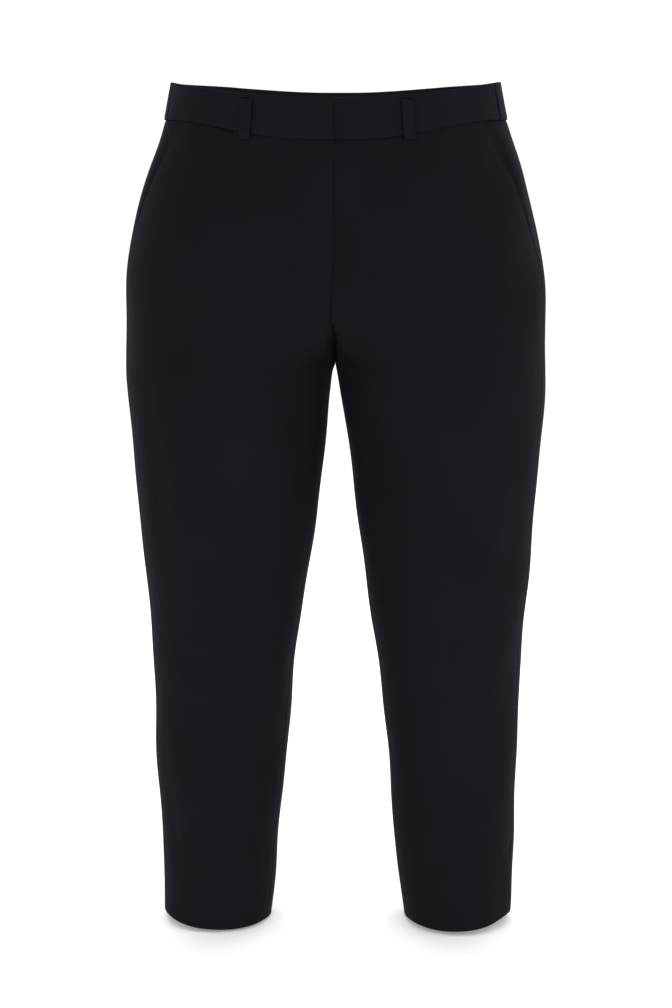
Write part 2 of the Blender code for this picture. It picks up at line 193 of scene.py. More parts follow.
# Soft creases: the place of each one's middle, how far it reaches along and across its line, how
# that line leans from upright in radians (towards the centre, going down) and bows, and how far it
# moves the cloth out. The first eight are the solids' own, but the fifth lies a little lower and
# further out.
CREASES = {
    "side": (-1, 1, -1, 1, 1, -1, -1, 1,
             -1, 1, -1, 1, -1, 1, -1, 1, -1, 1, -1, 1, -1, 1, -1, 1, -1, 1, -1, 1, -1, 1, -1, 1,
             -1, 1, -1, 1, 1, 1),
    "drop": (0.150, 0.150, 0.400, 0.440, 0.866, 0.560, 0.410, 0.420,
             0.272, 0.268, 0.296, 0.300, 0.345, 0.352, 0.470, 0.505, 0.640, 0.655, 0.745, 0.770,
             0.830, 0.905, 0.300, 0.306, 0.335, 0.342, 0.372, 0.381, 0.560, 0.575, 0.600, 0.612,
             0.645, 0.655, 0.780, 0.800, 0.940, 0.870),
    "angle": (75, 72, 140, 138, 94, 100, -120, -122,
              140, 138, 118, 121, 104, 108, 48, 44, 70, 62, 108, 112, 42, 40, -128, -126, -104,
              -108, -140, -138, -100, -95, -70, -76, -112, -110, -88, -92, 6, 22),
    "along": (0.060, 0.060, 0.090, 0.110, 0.050, 0.060, 0.050, 0.055,
              0.030, 0.026, 0.042, 0.038, 0.036, 0.044, 0.120, 0.100, 0.050, 0.060, 0.055, 0.045,
              0.070, 0.060, 0.045, 0.040, 0.055, 0.050, 0.038, 0.042, 0.040, 0.036, 0.046, 0.050,
              0.034, 0.038, 0.080, 0.090, 0.035, 0.030),
    "across": (0.030, 0.028, 0.022, 0.024, 0.016, 0.020, 0.016, 0.016,
               0.007, 0.006, 0.008, 0.008, 0.009, 0.010, 0.018, 0.016, 0.011, 0.013, 0.012, 0.010,
               0.013, 0.012, 0.009, 0.008, 0.010, 0.009, 0.008, 0.008, 0.008, 0.007, 0.009, 0.010,
               0.008, 0.008, 0.016, 0.018, 0.024, 0.008),
    "lean": (0.3, -0.3, 0.2, -0.1, 0.55, -0.8, 1.2, -1.2,
             1.0, 0.9, 1.15, 1.05, 1.3, 1.2, 0.08, -0.05, 1.1, -1.2, 0.9, 0.6, 0.1, -0.1, 1.1, 1.0,
             1.3, 1.25, 0.9, 0.95, 1.4, 1.3, -1.3, -1.45, 1.2, 1.35, 0.2, -0.15, 0.0, 0.5),
    "bow": (0.0, 0.0, 0.0, 0.0, 0.2, 0.0, 0.0, 0.0,
            0.3, 0.25, 0.35, 0.3, 0.2, 0.25, 0.1, -0.1, 0.3, -0.3, 0.25, -0.2, 0.1, 0.15, 0.4,
            0.35, 0.3, 0.35, 0.25, 0.3, 0.2, 0.25, -0.2, -0.25, 0.2, 0.2, 0.1, -0.1, 0.0, 0.2),
    "out": (-0.0034, -0.0028, -0.0030, -0.0034, -0.0036, -0.0026, -0.0024, -0.0022,
            -0.0015, -0.0013, -0.0016, -0.0013, -0.0011, -0.0012, -0.0020, -0.0016, -0.0012,
            -0.0014, -0.0013, -0.0011, -0.0018, -0.0015, -0.0012, -0.0011, -0.0013, -0.0012,
            -0.0010, -0.0010, -0.0010, -0.0009, -0.0011, -0.0010, -0.0009, -0.0008, -0.0010,
            -0.0011, 0.0020, -0.0008),
}
CREASE_RIDGE = 0.35  # the soft ridge beside a trough, a share of its depth
RIDGE_PLACE = 1.7  # how far beside it, in its reaches across
CREASE_DEEP = 0.05  # how far under a crease's plane it still reaches

# Long, shallow unevenness of worn cloth: waves to the metre round and down, and height.
SWELLS = {
    "round": (5.1, -7.3, 11.7, 3.2),
    "down": (3.7, 6.1, -4.4, 9.3),
    "phase": (0.4, 2.1, 3.9, 5.2),
    "height": (0.00080, 0.00060, 0.00036, 0.00040),
}
SWELL_DEPTH = 0.6  # what a length from front to back counts for, against one across
BAND_SWELL = 0.5  # the stiffened band has less of it

SPREAD_STEPS = 161
SMALL_TURN = 1e-4
EDGE_STEPS = 4  # towards where a panel's centre edge meets its own line

# ---- Rows and columns: a count, then how much closer they lie near some places, and how near ----

PANEL_COLUMNS = 96
SEAM_CLOSER, SEAM_CLOSER_REACH = 7.0, 0.020
PANEL_ROWS = 270
TOP_CLOSER = (7.0, 0.010)
FLY_END_CLOSER = (2.0, 0.020)
CROTCH_CLOSER = (3.0, 0.022)
HEM_LINE_CLOSER = (6.0, 0.006)
HEM_EDGE_CLOSER = (6.0, 0.005)
HIP_ROWS, HIP_COLUMNS = 70, 20
HIP_SEAM_CLOSER = (7.0, 0.05)
BAND_ROWS = 34
BAND_TOP_CLOSER, BAND_SEAM_CLOSER, BAND_END_CLOSER = (3.0, 0.08), (4.0, 0.08), (3.0, 0.03)
BAND_COLUMN = 0.0028
LOOP_ROWS, LOOP_COLUMNS = 60, 12
TACK_CLOSER, LOOP_EDGE_CLOSER = (2.0, 0.05), (1.5, 0.12)

# ---- Finishes ----

SUITING = (0.0050, 0.0047, 0.0069)
# The band's and belt loops' suiting is the same cloth made a little lighter: painted light,
# standing in for the light from above on the band.
BAND_SUITING_PAINTED_LIGHT = (0.0059, 0.0055, 0.0081)
BAND_INSIDE = (0.0155, 0.0152, 0.0160)
THREAD_COLOUR = (0.0044, 0.0041, 0.0060)
ROUGHNESS, THREAD_ROUGHNESS = 0.8, 0.6
SPECULAR = 0.03
SHEEN, SHEEN_ROUGHNESS, SHEEN_TINT = 0.014, 0.45, (0.80, 0.80, 1.0)
WEAVE_PITCH, WEAVE_DEPTH = 0.00052, 0.00007
RIB_DISTORTION, RIB_DETAIL, YARN_DISTORTION = 0.6, 1.0, 0.4
YARN_SHARE, FUZZ_SHARE = 0.35, 0.5  # of the weave's relief, against the ribs
BUMP_STRENGTH = 0.5
CLOUD_SCALE, FUZZ_SCALE, NOISE_DETAIL = 13.0, 900.0, 2.0
CLOUD_SHARE, CLOUD_LEVEL = 1.5, -0.45  # contrast and level of the dye's cloudiness
WEAVE_TINT = 0.35  # how much the weave tells in the colour, against the cloudiness
TINT_RANGE = 0.14  # how far the colour goes either way

# ---- Camera and stage ----

LENS, SENSOR = 75.0, 36.0  # mm, the sensor's 36 mm along the picture's height
CAMERA_AIM = (0.0008, 0.0, -0.454)
CAMERA_DISTANCE = 2.415
CAMERA_TURN, CAMERA_FALL = 1.8, 9.0  # degrees towards the wearer's left, and down
FLOOR_SIZE = 400.0
FLOOR_GAP = 0.0005
FLOOR_WHITE = (0.9, 0.9, 0.9)
FLOOR_GLOW = 0.15  # a floor lit from under, as in a studio for cut-out pictures
WORLD_STRENGTH = 1.05
LIGHTS = {  # place, aim, size and power in watts
    "behind": ((0.0, 1.9, 1.6), (0.0, 0.1, -0.9), (3.2, 1.4), 58.0),
    "right_softbox": ((2.0, -1.2, 0.2), (0.0, 0.0, -0.4), (1.0, 2.0), 7.5),
    "front_low": ((0.0, -1.1, -0.78), (0.0, 0.0, -0.74), (1.6, 0.26), 6.0),
}


def read(table, column, drop):
    """A column at these drops, on a smooth curve through the table's rows."""
    heights = np.array(table["drop"])
    values = np.array(table[column])
    slopes = np.gradient(values, heights)
    drop = np.clip(drop, heights[0], heights[-1])
    row = np.clip(np.searchsorted(heights, drop, side="right") - 1, 0, len(heights) - 2)
    span = heights[row + 1] - heights[row]
    t = (drop - heights[row]) / span
    ends = values[row] * (1 + 2 * t) * (1 - t) ** 2 + values[row + 1] * (3 - 2 * t) * t**2
    return ends + span * t * (1 - t) * (slopes[row] * (1 - t) - slopes[row + 1] * t)


def smooth(share):
    share = np.clip(share, 0.0, 1.0)
    return share * share * (3 - 2 * share)


def bump(distance, reach):
    return np.exp(-((distance / reach) ** 2))


def turn_at(table, drop):
    return np.radians(np.interp(drop, table["drop"], table["turn"]))


def side_turn(table, side, drop):
    """The same for the side seam or the pocket edge of one side of the body."""
    hips = np.minimum(1.0, (HEM_DROP - drop) / (HEM_DROP - CROTCH_DROP))
    return turn_at(table, drop) + side * SEAM_TWIST * hips


def section(drop, angle):
    """Points and outward normals in plan on one half, with the side at +x and the front at -y."""
    drop, angle = np.broadcast_arrays(np.asarray(drop, float), np.asarray(angle, float))
    leg = drop >= CROTCH_DROP
    angle = np.where(leg & (abs(angle) > math.pi), angle - 2 * math.pi * np.sign(angle), angle)
    front = angle > 0
    way = np.where(front, 1.0, -1.0)
    fork_start = np.where(front, FORK_START["front"], FORK_START["back"])
    fork = np.clip((drop - fork_start) / (CROTCH_DROP - fork_start), 0.0, 1.0)
    inner_turn = np.where(leg, math.pi / 2, np.maximum(math.pi / 2 * fork**FORK_POWER, NO_FORK))
    outer = read(SECTIONS, "outer", drop)
    inner = np.where(leg, read(LEGS, "inner", drop), 0.0)
    middle = np.where(leg, (outer + inner) / 2, read(SECTIONS, "flat", drop))
    depth = np.where(front, read(SECTIONS, "front", drop), read(SECTIONS, "back", drop))
    beyond = abs(angle) - math.pi / 2
    inside = beyond > 0
    bend = np.where(inside, (middle - inner) / np.sin(inner_turn), outer - middle)
    turn = np.where(inside, beyond / (math.pi / 2) * inner_turn, beyond)
    point = np.stack([middle - bend * np.sin(turn), -way * depth * np.cos(turn)], -1)
    normal = np.stack([-np.sin(turn) / bend, -way * np.cos(turn) / depth], -1)
    return point, normal / np.linalg.norm(normal, axis=-1, keepdims=True)


def skin(side, drop, angle, out=0.0):
    """Points of the garment's outer face, moved out by that much."""
    point, normal = section(drop, angle)
    point = point + normal * np.asarray(out)[..., None]
    x = side * point[..., 0] + read(LEGS, "sway", drop)
    z = HELD_DROP - drop + np.zeros_like(x)
    return np.stack([x, point[..., 1], z], -1)


def angle_step(drop, angle, length):
    """The change of angle that goes this far round the section."""
    ends = [section(drop, angle + way * SMALL_TURN)[0] for way in (-1, 1)]
    return length * 2 * SMALL_TURN / np.linalg.norm(ends[1] - ends[0], axis=-1)


def spread(drop, start, end, shares):
    """For each row, angles between its two ends, at shares of the length of cloth between them."""
    steps = np.linspace(0, 1, SPREAD_STEPS)
    angles = start[:, None] + (end - start)[:, None] * steps
    points = section(drop[:, None], angles)[0]
    lengths = np.linalg.norm(np.diff(points, axis=1), axis=-1)
    travelled = np.concatenate([np.zeros((len(drop), 1)), np.cumsum(lengths, axis=1)], axis=1)
    return np.array([np.interp(shares, t / t[-1], a) for t, a in zip(travelled, angles)])


def spaced(start, end, count, *closer):
    """Places between two ends, closer together near some: (place, how much closer, reach)."""
    fine = np.linspace(start, end, 20 * count)
    density = np.ones_like(fine)
    for place, more, reach in closer:
        density += more * bump(fine - place, reach)
    travelled = np.concatenate([(0.0,), np.cumsum((density[1:] + density[:-1]) / 2)])
    return np.interp(np.linspace(0, travelled[-1], count + 1), travelled, fine)


def edge_drop(edge, angle):
    """The drop of one of the waistband's edges."""
    face = np.asarray(angle) > 0
    level = edge["side"]
    depth = np.where(face, read(SECTIONS, "front", level), read(SECTIONS, "back", level))
    dip = np.where(face, edge["front"][0], edge["back"][0])
    power = np.where(face, edge["front"][1], edge["back"][1])
    point = section(level, angle)[0]
    return level + dip * abs(point[..., 1] / depth) ** power


def centre_angle(drop, face, past):
    """Where a piece ends towards the centre. Over the crotch it reaches past the centre plane."""
    way = 1 if face == "front" else -1
    fork = np.clip((drop - FORK_START[face]) / (CROTCH_DROP - FORK_START[face]), 0.0, 1.0)
    inner_turn = np.maximum(math.pi / 2 * fork**FORK_POWER, NO_FORK)
    middle = read(SECTIONS, "flat", drop)
    turn = np.arcsin(np.minimum((middle + past) * np.sin(inner_turn) / middle, 1.0))
    over = way * math.pi / 2 * (1 + turn / inner_turn)
    seam = math.pi - way * turn_at(INSEAM, drop)
    under = way * (seam - angle_step(drop, way * seam, GAP / 2))
    return np.where(drop >= CROTCH_DROP, under, over)


def side_angle(side, drop, face):
    """Where a piece ends at the side seam."""
    seam = side_turn(SIDE_SEAM, side, drop)
    gap = angle_step(drop, seam, GAP / 2)
    return seam + gap if face == "front" else seam - gap


def pocket_angle(side, drop):
    """The front's outer edge: the slanted pocket edge, then the side seam."""
    seam = side_angle(side, drop, "front")
    pocket = np.maximum(side_turn(POCKET, side, drop), seam)
    return np.where(drop > POCKET["drop"][1], seam, pocket)


def leaf_out(side, drop, x):
    """How far the left front's edge lies in, where the right front's fly edge laps over it."""
    if side < 0:
        return np.zeros_like(x)
    round_share = smooth((FLY_EDGE + FLY_EASE - x) / FLY_EASE)
    level = FLY_END_DROP + OVERLAP_TAPER
    return round_share * smooth((level + FLY_EASE - drop) / FLY_EASE)


def fly_past(side, drop):
    """How far a front reaches past the centre line."""
    seam = -GAP / 2
    if side < 0:
        share = smooth((FLY_END_DROP + OVERLAP_TAPER - drop) / OVERLAP_TAPER)
        return seam + (FLY_EDGE - seam) * share
    share = smooth((FLY_END_DROP - drop) / UNDERLAP_TAPER)
    return seam + (FLY_UNDERLAP - FLY_EDGE - seam) * share


def facing(side, drop, angle):
    """Rough outward directions, level with the ground."""
    plan = section(drop, angle)[1]
    return np.stack([side * plan[..., 0], plan[..., 1], np.zeros_like(plan[..., 0])], -1)


def outward(points, like):
    """A grid's unit normals, on the side that like points to, and 1 or -1 for its winding."""
    normal = np.cross(np.gradient(points, axis=1), np.gradient(points, axis=0))
    normal /= np.linalg.norm(normal, axis=-1, keepdims=True)
    winding = 1 if (normal * like).sum() > 0 else -1
    return normal * winding, winding


def lengths_across(points):
    """How far along its row each point of a grid lies."""
    steps = np.linalg.norm(np.diff(points, axis=1), axis=-1)
    return np.concatenate([np.zeros((len(points), 1)), np.cumsum(steps, axis=1)], axis=1)


def creases(side, points):
    """How far the soft creases of one side move these points out."""
    total = np.zeros(points.shape[:-1])
    rows = zip(*(CREASES[column] for column in CREASES))
    for its_side, drop, degrees, along, across, lean, bow, out in rows:
        if its_side != side:
            continue
        angle = math.radians(degrees)
        centre = skin(side, drop, angle)
        round_ = skin(side, drop, angle + SMALL_TURN) - centre
        down = skin(side, drop + SMALL_TURN, angle) - centre
        round_ /= np.linalg.norm(round_) * (1 if degrees > 0 else -1)
        down /= np.linalg.norm(down)
        away = points - centre
        a = (away @ down * math.cos(lean) + away @ round_ * math.sin(lean)) / along
        c = (away @ round_ * math.cos(lean) - away @ down * math.sin(lean)) / across - bow * a**2
        through = away @ np.cross(round_, down)
        near = bump(through, CREASE_DEEP) * np.exp(-(a**2))
        total += out * near * (bump(c, 1.0) - CREASE_RIDGE * bump(c - RIDGE_PLACE, 1.0))
    return total


def swells(points, side):
    """Long, shallow unevenness."""
    total = np.zeros(points.shape[:-1])
    for round_, down, phase, height in zip(*(SWELLS[column] for column in SWELLS)):
        place = (points[..., 0] + SWELL_DEPTH * points[..., 1]) * round_ + points[..., 2] * down
        total += height * np.sin(2 * math.pi * place + phase * (2 + side))
    return total


def puckered(dip, reach, distance, along, phase):
    """A seam's roll, uneven along it."""
    turns = 2 * math.pi * along / PUCKER_PITCH
    pull = 1 + PUCKER * np.sin(turns + phase) + PUCKER * np.sin(turns / PUCKER_LONGER + 2 * phase)
    return -dip * pull * bump(distance, reach)


def make_sheet(name, points, winding, wall, edge_round, material):
    """A piece of cloth on a grid of points: its wall inside them, round edges, UVs in metres."""
    rows, columns = points.shape[:2]
    index = np.arange(rows * columns).reshape(rows, columns)
    corners = (index[:-1, :-1], index[:-1, 1:], index[1:, 1:], index[1:, :-1])
    faces = np.stack(corners, -1).reshape(-1, 4)
    if winding < 0:
        faces = faces[:, ::-1]
    mesh = bpy.data.meshes.new(name)
    mesh.from_pydata(points.reshape(-1, 3).tolist(), [], faces.tolist())
    mesh.shade_smooth()

    across = lengths_across(points)
    across -= across[:, columns // 2, None]
    down = lengths_across(points.transpose(1, 0, 2))[columns // 2]
    cloth = np.stack([across, np.broadcast_to(-down[:, None], across.shape)], -1).reshape(-1, 2)
    uv = mesh.uv_layers.new(name="cloth")
    uv.data.foreach_set("uv", cloth[faces.reshape(-1)].ravel())
    mesh.materials.append(material)

    piece = bpy.data.objects.new(name, mesh)
    bpy.context.collection.objects.link(piece)
    solidify = piece.modifiers.new("wall", "SOLIDIFY")
    solidify.thickness = wall
    solidify.offset = -1
    bevel = piece.modifiers.new("edges", "BEVEL")
    bevel.width = edge_round
    bevel.segments = EDGE_SEGMENTS
    bevel.limit_method = "ANGLE"
    bevel.angle_limit = EDGE_ANGLE
    bevel.use_clamp_overlap = False
    bevel.harden_normals = True
    return piece


def declare(piece, node):
    """Hangs a sheet from the root body and hides the solid of the node it stands for."""
    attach(piece, "root")
    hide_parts(node)


def panel_rows():
    """The drops of a leg panel's rows, down to where the hem's fold begins."""
    return spaced(
        BAND_SEAM["side"], HEM_DROP - HEM_FOLD, PANEL_ROWS,
        (BAND_SEAM["side"], *TOP_CLOSER),
        (FLY_END_DROP, *FLY_END_CLOSER),
        (CROTCH_DROP, *CROTCH_CLOSER),
        (HEM_DROP - HEM_DEPTH, *HEM_LINE_CLOSER),
        (HEM_DROP, *HEM_EDGE_CLOSER),
    )


def lowered(side, drop, angle):
    """The drops of a panel's rows where they follow the waistband's dip, and the hem's tilt."""
    level = np.maximum(0.0, 1 - (drop - BAND_SEAM["side"]) / DIP_FADE)
    here = drop + (edge_drop(BAND_SEAM, angle) - BAND_SEAM["side"] + GAP) * level
    corner = abs(np.sin(angle)) - 1 + abs(np.cos(angle)) ** HEM_CORNER_POWER
    rise = HEM_RISE[side] + HEM_TILT * np.cos(angle) + HEM_CORNER * corner
    return here - rise * smooth(1 - (HEM_DROP - drop) / HEM_TILT_FADE)


def panel_relief(side, face, drop, points):
    """How far a leg panel's fine form moves its points out."""
    across = lengths_across(points)
    to_end = across[:, -1:] - across
    down = drop[:, None]
    phase = PHASES["side"] * side + PHASES[face]
    relief = creases(side, points) + swells(points, side)
    fly, pocket = 0.0, 0.0
    if face == "front":
        pocket = smooth((POCKET["drop"][1] - down) / OVERLAP_TAPER)
        if side < 0:
            fly = smooth((FLY_END_DROP + OVERLAP_TAPER - down) / OVERLAP_TAPER)
    at_leg = down > CROTCH_DROP
    dip = np.where(at_leg, SEAM_DIP, CENTRE_DIP + (FOLDED_DIP - CENTRE_DIP) * fly)
    reach = np.where(at_leg, SEAM_REACH, CENTRE_REACH + (FOLDED_REACH - CENTRE_REACH) * fly)
    relief += puckered(dip, reach, across, down, phase)
    side_dip = SEAM_DIP * (1 - pocket)
    relief += puckered(side_dip, SEAM_REACH, to_end, down, phase + PHASES["side_seam"])
    relief += puckered(BAND_DITCH, BAND_DITCH_REACH, down - BAND_SEAM["side"], across, phase)
    stitches = 1 + HEM_PULL * np.sin(2 * math.pi * across / HEM_STITCH)
    relief -= HEM_LINE * bump(down - (HEM_DROP - HEM_DEPTH), HEM_LINE_REACH) * stitches
    if face == "back":
        middle = across[:, -1:] * DART_SHARE
        ends = smooth((DART_END - down) / DART_FADE)
        relief += puckered(DART_DIP, DART_REACH, across - middle, down, phase) * ends
    return relief


def kept_aside(side, x, past):
    """A panel's places across, kept on their own side of the centre plane or of the fly's lap."""
    return side * np.maximum(side * x, np.minimum(-past, GAP / 2)[:, None])


def leg_panel(side, face, material):
    """A front or a back, from the waistband's seam to its turned-up hem."""
    drop = panel_rows()
    past = fly_past(side, drop) if face == "front" else np.full_like(drop, -GAP / 2)
    start = centre_angle(drop, face, past)
    for _ in range(EDGE_STEPS):
        start = centre_angle(lowered(side, drop, start), face, past)
    end = pocket_angle(side, drop) if face == "front" else side_angle(side, drop, face)
    places = [(0.0, SEAM_CLOSER, SEAM_CLOSER_REACH), (1.0, SEAM_CLOSER, SEAM_CLOSER_REACH)]
    if face == "back":
        places.append((DART_SHARE, SEAM_CLOSER, SEAM_CLOSER_REACH))
    shares = spaced(0.0, 1.0, PANEL_COLUMNS, *places)
    angle = spread(drop, start, end, shares)

    here = lowered(side, drop[:, None], angle)
    out = np.zeros_like(here)
    if face == "front":
        out = -UNDER * leaf_out(side, here, section(here, angle)[0][..., 0])
    points = skin(side, here, angle, out)
    points[..., 0] = kept_aside(side, points[..., 0], past)
    centre = points[:, :1, 0].copy()

    normals, winding = outward(points, facing(side, here, angle))
    points = points + normals * panel_relief(side, face, drop, points)[..., None]
    points[..., 1] *= 1 - fork_crease(drop[:, None], side * points[..., 0])
    above = smooth((CROTCH_DROP + CLOSED_FADE - drop) / CLOSED_FADE)[:, None]
    near = bump(lengths_across(points), CLOSED_REACH) * above
    points[..., 0] -= (points[:, :1, 0] - centre) * near  # the centre seam stays closed
    points[..., 0] = kept_aside(side, points[..., 0], past)

    added = [0, 0]  # columns of seam allowance before and after the panel's own
    if side > 0:
        points = lined_up(points, normals, drop, 1 if face == "front" else -1)
        added[0] = len(ALLOWANCE)
    if face == "back":
        points = joined(points, normals, ALLOWANCE[::-1])
        added[1] = len(ALLOWANCE)
    normals = np.pad(normals, ((0, 0), added, (0, 0)), mode="edge")
    points = turn_up(tucked(points, normals), normals, drop)

    name = f"{face}_{'left' if side > 0 else 'right'}"
    return make_sheet(name + "_cloth", points, winding, CLOTH, EDGE_ROUND, material)


def fork_crease(drop, x):
    """The share by which the cloth over and just under the crotch is pulled in."""
    share = smooth((drop - FORK_CREASE_START) / (FORK_CREASE_FULL - FORK_CREASE_START))
    share = share * smooth((FORK_CREASE_END - drop) / (FORK_CREASE_END - CROTCH_DROP))
    narrow, wide = FORK_CREASE_REACH
    return FORK_CREASE * share * bump(x, narrow + (wide - narrow) * share)


def allowance(edge, inner, normal, places):
    """The columns of a seam allowance past an edge, whose neighbour column is inner."""
    beyond = edge - inner
    beyond /= np.linalg.norm(beyond, axis=-1, keepdims=True)
    return [edge + past * beyond - inside * normal for past, inside in places]


def lined_up(points, normals, drop, way):
    """Adds the allowance behind the centre seam and the inseam; way is 1 in front, -1 behind."""
    edge = points[:, 0]
    share = smooth((CROTCH_DROP - drop) / ALLOWANCE_FADE)[:, None]
    columns = allowance(edge, points[:, 1], normals[:, 0], ALLOWANCE)
    for number, (past, inside) in enumerate(ALLOWANCE):
        on_body = edge + np.array((-past, way * inside, 0.0))
        columns[number] = share * on_body + (1 - share) * columns[number]
    return np.concatenate([np.stack(columns, axis=1), points], axis=1)


def joined(points, normals, places, lower=0.0):
    """Adds the seam allowance behind a side seam."""
    columns = allowance(points[:, -1], points[:, -2], normals[:, -1], places)
    return np.concatenate([points, np.stack(columns, axis=1) + lower], axis=1)


def tucked(points, normals, tuck=TUCK):
    """Adds the seam allowance that turns in behind the waistband."""
    edge = points[0]
    inside = np.broadcast_to(tuck, edge.shape[:1])[:, None] * normals[0]
    rows = [edge + np.array((0.0, 0.0, up)) - share * inside for up, share in TUCK_ROWS]
    return np.concatenate([np.array(rows), points])


def turn_up(points, normals, drop):
    """Folds the cloth in at the hem's edge, and up inside the leg."""
    edge, normal = points[-1], normals[-1]
    down = points[-1] - points[-2]
    down /= np.linalg.norm(down, axis=-1, keepdims=True)
    turns = np.linspace(0, math.pi, HEM_FOLD_STEPS + 1)[1:]
    fold = [edge + HEM_FOLD * (down * math.sin(t) - normal * (1 - math.cos(t))) for t in turns]
    count = np.count_nonzero(drop > HEM_DROP - HEM_DEPTH)
    layer = points[-count:-1] - 2 * HEM_FOLD * normals[-count:-1]
    return np.concatenate([points, np.array(fold), layer[::-1]])


def hip_panel(side, material):
    """The cloth that shows in a pocket's opening."""
    drop = np.linspace(HIP_PANEL_START, HIP_PANEL_END, HIP_ROWS + 1)
    seam = side_turn(SIDE_SEAM, side, drop)
    mouth = np.maximum(side_turn(POCKET, side, drop), seam)
    start = mouth + angle_step(drop, mouth, POCKET_UNDERLAP)
    end = seam + angle_step(drop, seam, GAP / 2)
    shares = spaced(0.0, 1.0, HIP_COLUMNS, (1.0, *HIP_SEAM_CLOSER))
    angle = spread(drop, start, end, shares)
    level = np.maximum(0.0, 1 - (drop - BAND_SEAM["side"]) / DIP_FADE)[:, None]
    here = drop[:, None] + (edge_drop(BAND_SEAM, angle) - BAND_SEAM["side"]) * level
    across = lengths_across(skin(side, here, angle))
    to_seam = across[:, -1:] - across
    reach = np.maximum(across[:, -1:] - POCKET_UNDERLAP, POCKET_UNDERLAP)
    down_share = (drop - HIP_PANEL_START) / (HIP_PANEL_END - HIP_PANEL_START)
    gape = POCKET_GAPE * np.sin(math.pi * down_share)[:, None]
    depth = UNDER + gape * smooth(reach / GAPE_REACH - GAPE_START)
    depth = depth * smooth(to_seam / (HIP_SINK * reach))
    points = skin(side, here, angle, -depth)
    normals, winding = outward(points, facing(side, here, angle))
    relief = creases(side, points) + swells(points, side)
    relief += puckered(SEAM_DIP, SEAM_REACH, to_seam, drop[:, None], side)
    points = points + normals * relief[..., None]
    points = tucked(points, normals, np.maximum(TUCK - depth[0], 0.0))
    name = f"hip_panel_{'left' if side > 0 else 'right'}"
    return make_sheet(name + "_cloth", points, winding, CLOTH, EDGE_ROUND, material)


def band_strip(side, first, last, lapped):
    """The points of a length of the waistband on one side, and its rough outward directions."""
    level = np.array([BAND_SEAM["side"]])
    line = skin(side, level, np.linspace(first, last, SPREAD_STEPS))
    length = np.linalg.norm(np.diff(line, axis=0), axis=1).sum()
    ends = [(place, *BAND_END_CLOSER) for place in (0.0, 1.0)]
    shares = spaced(0.0, 1.0, int(length / BAND_COLUMN), *ends)
    angle = spread(level, np.array([first]), np.array([last]), shares)
    closer = (0.0, *BAND_TOP_CLOSER), (1.0, *BAND_SEAM_CLOSER)
    down = spaced(0.0, 1.0, BAND_ROWS, *closer)[:, None]
    top = edge_drop(TOP_EDGE, angle)
    drop = top + down * (edge_drop(BAND_SEAM, angle) - top)
    angle = np.broadcast_to(angle, drop.shape)
    out = BAND_PROUD + BAND_SIDES[side] * np.cos(angle) ** BAND_SIDES_POWER
    if lapped:
        out = out - BAND_UNDER * leaf_out(side, drop, section(drop, angle)[0][..., 0])
    return skin(side, drop, angle, out), facing(side, drop, angle), down


def band(name, start, end, material, inside, lapped=False):
    """A length of the waistband between two places, each a side of the body and an angle."""
    (start_side, start_angle), (end_side, end_angle) = start, end
    if start_side == end_side:
        points, like, down = band_strip(start_side, start_angle, end_angle, lapped)
    else:
        points, like, down = band_strip(start_side, start_angle, -math.pi, lapped)
        more_points, more_like, down = band_strip(end_side, -math.pi, end_angle, lapped)
        points = np.concatenate([points, more_points[:, 1:]], axis=1)
        like = np.concatenate([like, more_like[:, 1:]], axis=1)
    normals, winding = outward(points, like)
    across = lengths_across(points)
    to_end = across[:, -1:] - across
    height = lengths_across(points.transpose(1, 0, 2)).T
    to_seam = height[-1:] - height
    relief = BAND_SWELL * swells(points, start_side)
    relief += puckered(BAND_DITCH, BAND_DITCH_REACH, to_seam, across, PHASES["band"])
    at_start = (SEAM_DIP, SEAM_REACH) if name == "waistband_back" else (FOLDED_DIP, FOLDED_REACH)
    relief += puckered(*at_start, across, height, PHASES["band_start"])
    relief += puckered(SEAM_DIP, SEAM_REACH, to_end, height, PHASES["band_end"])
    points = points + normals * relief[..., None]
    if name != "waistband_back":
        lower = np.array((0.0, 0.0, -BAND_ALLOWANCE_LOWER)) * (1 - down)
        points = joined(points, normals, BAND_ALLOWANCE, lower[:, None])
    sheet = make_sheet(name + "_cloth", points, winding, BAND_CLOTH, BAND_EDGE_ROUND, material)
    sheet.data.materials.append(inside)
    sheet.modifiers["wall"].material_offset = 1
    return sheet


def loop_face(name, side, top_angle, foot_angle, down, across, lift=0.0):
    """Points of a belt loop's outer face at shares of its length and width; drops; angles."""
    top = edge_drop(TOP_EDGE, top_angle) + LOOP_BELOW_EDGE
    foot = edge_drop(BAND_SEAM, foot_angle) + LOOP_BELOW_SEAM - LOOP_SHORTER.get(name, 0.0)
    drop = top + down * (foot - top)
    middle = top_angle + down * (foot_angle - top_angle)
    angle = middle + angle_step(drop, middle, LOOP_WIDTH) * (0.5 - across)
    slack = smooth(down / LOOP_ENDS) * smooth((1 - down) / LOOP_ENDS)
    out = GAP + BAND_PROUD * (1 - down) + LOOP_SLACK * slack + LOOP_WALL
    out = out + LOOP_CROWN * np.sin(math.pi * across) * slack - TACK_DIP * tack_share(down) + lift
    drop, angle, out = np.broadcast_arrays(drop, angle, out)
    return skin(side, drop, angle, out), drop, angle


def tack_share(down):
    """How near a place is to one of a loop's two bar tacks."""
    return sum(bump(down - tack, TACK_DIP_REACH) for tack in TACKS)


def belt_loop(name, side, top_angle, foot_angle, material):
    """A folded strip, sewn down at the band's top edge and under its seam, slack between them."""
    down = spaced(0.0, 1.0, LOOP_ROWS, *((tack, *TACK_CLOSER) for tack in TACKS))[:, None]
    across = spaced(0.0, 1.0, LOOP_COLUMNS, *((edge, *LOOP_EDGE_CLOSER) for edge in (0.0, 1.0)))
    points, drop, angle = loop_face(name, side, top_angle, foot_angle, down, across)
    winding = outward(points, facing(side, drop, angle))[1]
    return make_sheet(name + "_cloth", points, winding, LOOP_CLOTH, LOOP_EDGE_ROUND, material)


